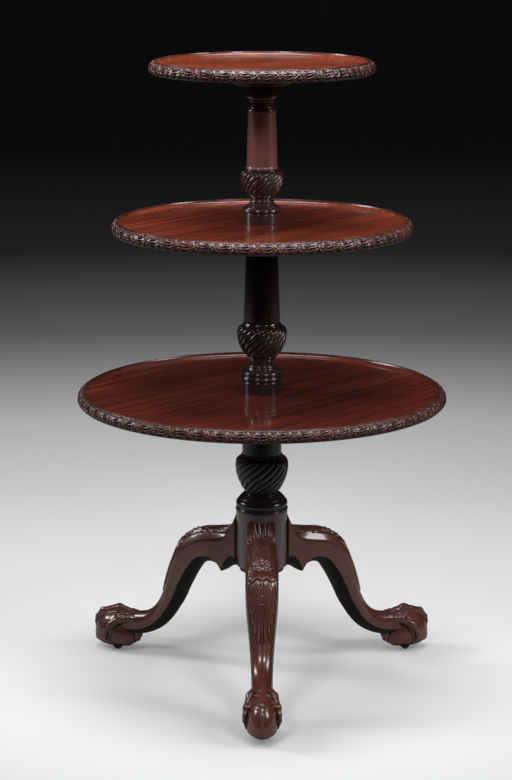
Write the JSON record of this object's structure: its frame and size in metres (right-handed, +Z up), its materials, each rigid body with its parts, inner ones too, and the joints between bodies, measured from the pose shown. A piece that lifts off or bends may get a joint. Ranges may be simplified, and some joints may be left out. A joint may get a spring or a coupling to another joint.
{
  "type": "tiered side table",
  "caption": "Mahogany dumb-waiter with dished carved-rim trays that turn on a sectional spiral-vased stem over a claw-and-ball tripod on castors.",
  "frame": {"origin": "on the stem's axis at floor level, between the castors", "axes": "+Z up along the stem, -Y towards the front leg, +X to the right seen from the front"},
  "size_m": [0.6306, 0.6665, 1.0773],
  "materials": {
    "tray_mahogany": "french polished",
    "dark_mahogany": "french polished",
    "leg_mahogany": "french polished",
    "iron": "dark",
    "brass": "aged",
    "leather": "worn"
  },
  "bodies": {
    "base": {"base_pillar": "dark_mahogany", "middle_stem": "dark_mahogany", "top_stem": "dark_mahogany", "hub_cap": "dark_mahogany", "hub_cap_screws": "iron", "castor_plate_screws": "brass", "front_leg": "leg_mahogany", "left_leg": "leg_mahogany", "right_leg": "leg_mahogany", "front_castor_plate": "brass", "left_castor_plate": "brass", "right_castor_plate": "brass"},
    "lower_tier": {"lower_tray": "tray_mahogany", "lower_boss": "dark_mahogany", "lower_boss_screws": "iron"},
    "middle_tier": {"middle_tray": "tray_mahogany", "middle_boss": "dark_mahogany", "middle_boss_screws": "iron"},
    "top_tier": {"top_tray": "tray_mahogany", "top_boss": "dark_mahogany", "top_boss_screws": "iron"},
    "front_swivel": {"front_castor_fork": "brass", "front_castor_axle": "iron"},
    "front_roller": {"front_castor_wheel": "leather"},
    "left_swivel": {"left_castor_fork": "brass", "left_castor_axle": "iron"},
    "left_roller": {"left_castor_wheel": "leather"},
    "right_swivel": {"right_castor_fork": "brass", "right_castor_axle": "iron"},
    "right_roller": {"right_castor_wheel": "leather"}
  },
  "joints": [
    {"name": "lower_tier_turn", "type": "hinge", "parent": "base", "child": "lower_tier", "pos_m": [0, 0, 0.5005], "axis": [0, 0, 1], "continuous": true},
    {"name": "middle_tier_turn", "type": "hinge", "parent": "base", "child": "middle_tier", "pos_m": [0, 0, 0.7919], "axis": [0, 0, 1], "continuous": true},
    {"name": "top_tier_turn", "type": "hinge", "parent": "base", "child": "top_tier", "pos_m": [0, 0, 1.0583], "axis": [0, 0, 1], "continuous": true},
    {"name": "front_castor_swivel", "type": "hinge", "parent": "base", "child": "front_swivel", "pos_m": [0, -0.298, 0.03], "axis": [0, 0, 1], "continuous": true},
    {"name": "front_roller_turn", "type": "hinge", "parent": "front_swivel", "child": "front_roller", "pos_m": [0, -0.3015, 0.009], "axis": [1, 0, 0], "continuous": true},
    {"name": "left_castor_swivel", "type": "hinge", "parent": "base", "child": "left_swivel", "pos_m": [-0.25808, 0.149, 0.03], "axis": [0, 0, 1], "continuous": true},
    {"name": "left_roller_turn", "type": "hinge", "parent": "left_swivel", "child": "left_roller", "pos_m": [-0.26111, 0.15075, 0.009], "axis": [-0.5, -0.866, 0], "continuous": true},
    {"name": "right_castor_swivel", "type": "hinge", "parent": "base", "child": "right_swivel", "pos_m": [0.25808, 0.149, 0.03], "axis": [0, 0, 1], "continuous": true},
    {"name": "right_roller_turn", "type": "hinge", "parent": "right_swivel", "child": "right_roller", "pos_m": [0.26111, 0.15075, 0.009], "axis": [-0.5, 0.866, 0], "continuous": true}
  ]
}
